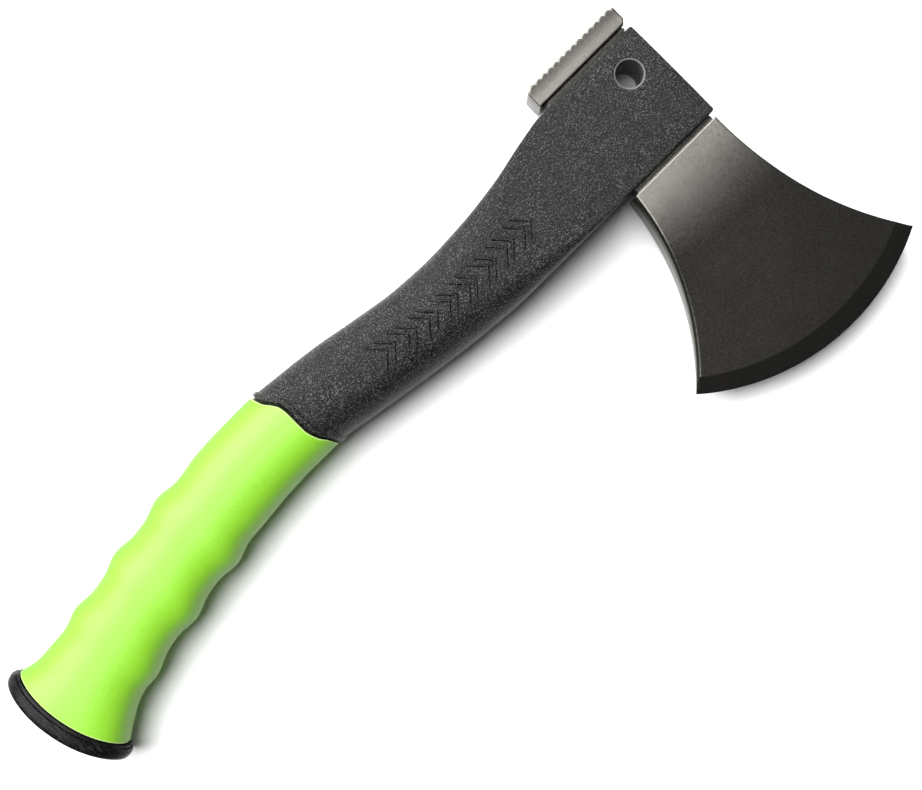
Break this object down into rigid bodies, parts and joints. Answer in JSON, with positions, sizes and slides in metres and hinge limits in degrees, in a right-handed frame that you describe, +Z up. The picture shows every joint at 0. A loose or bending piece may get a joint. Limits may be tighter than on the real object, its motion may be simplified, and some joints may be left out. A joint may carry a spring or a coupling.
{
  "type": "camp hatchet",
  "caption": "Compact fixed-head hatchet with a flared blade, a serrated hammer poll, and a black moulded handle with a green soft grip and a flanged butt cap.",
  "frame": {"origin": "under the middle of the object's bounding box, on the surface that the side of the eye and the butt flange lie on", "axes": "+X along the handle towards the top of the head, +Y towards the hammer poll, -Y towards the cutting edge, +Z up, square to the flat of the blade"},
  "size_m": [0.2944, 0.1202, 0.0254],
  "materials": {
    "steel": "dark grey satin coating on steel",
    "black_nylon": "moulded plastic with a pebbled grain, taken to be glass-filled nylon",
    "green_soft": "soft-touch rubber, matte with a very fine grain",
    "black_soft": "black rubber, taken to be the same kind as the grip's"
  },
  "bodies": {
    "root": {"head": "steel", "handle_core": "black_nylon", "grip_sleeve": "green_soft", "butt_cap": "black_soft"}
  },
  "joints": []
}
